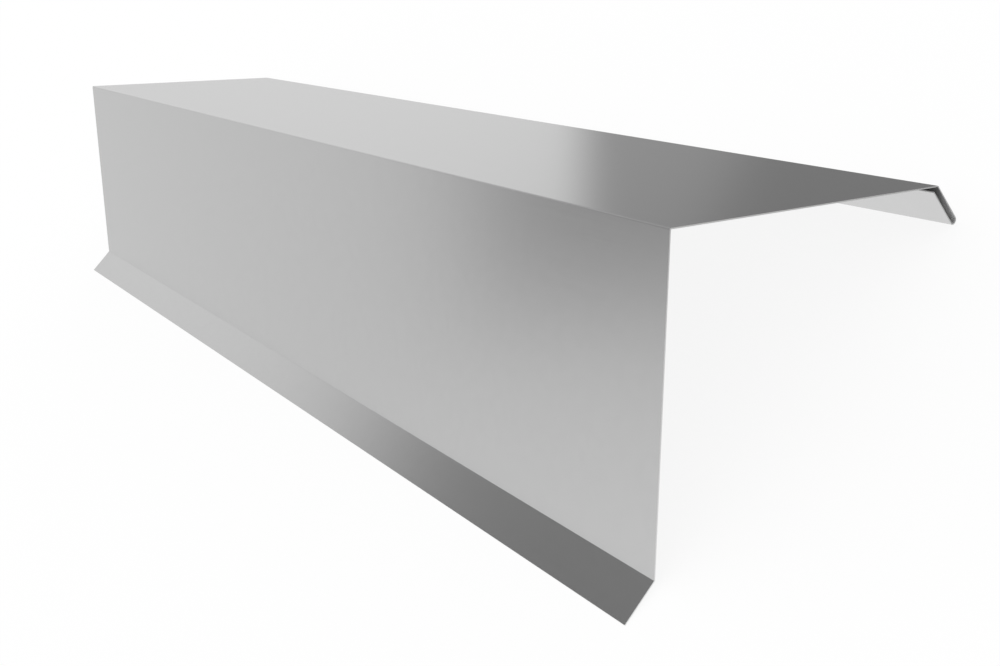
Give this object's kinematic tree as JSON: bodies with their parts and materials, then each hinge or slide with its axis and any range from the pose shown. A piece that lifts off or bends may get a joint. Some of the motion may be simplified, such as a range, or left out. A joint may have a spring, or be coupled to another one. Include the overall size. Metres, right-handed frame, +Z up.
{
  "type": "verge trim",
  "caption": "Folded sheet steel trim for a roof's verge: a roof leg and a front leg at a right angle, a drip edge kicked out below, and a turned-down lip with an open hem.",
  "frame": {"origin": "middle of the underside of the box around the trim, lying as it rests on a level floor", "axes": "+X along the trim, -Y the weather side of the front leg, +Z up"},
  "size_m": [1, 0.3332, 0.1665],
  "materials": {
    "galvanised_steel": "smooth zinc coating, satin"
  },
  "bodies": {
    "root": {"verge_trim": "galvanised_steel"}
  },
  "joints": []
}
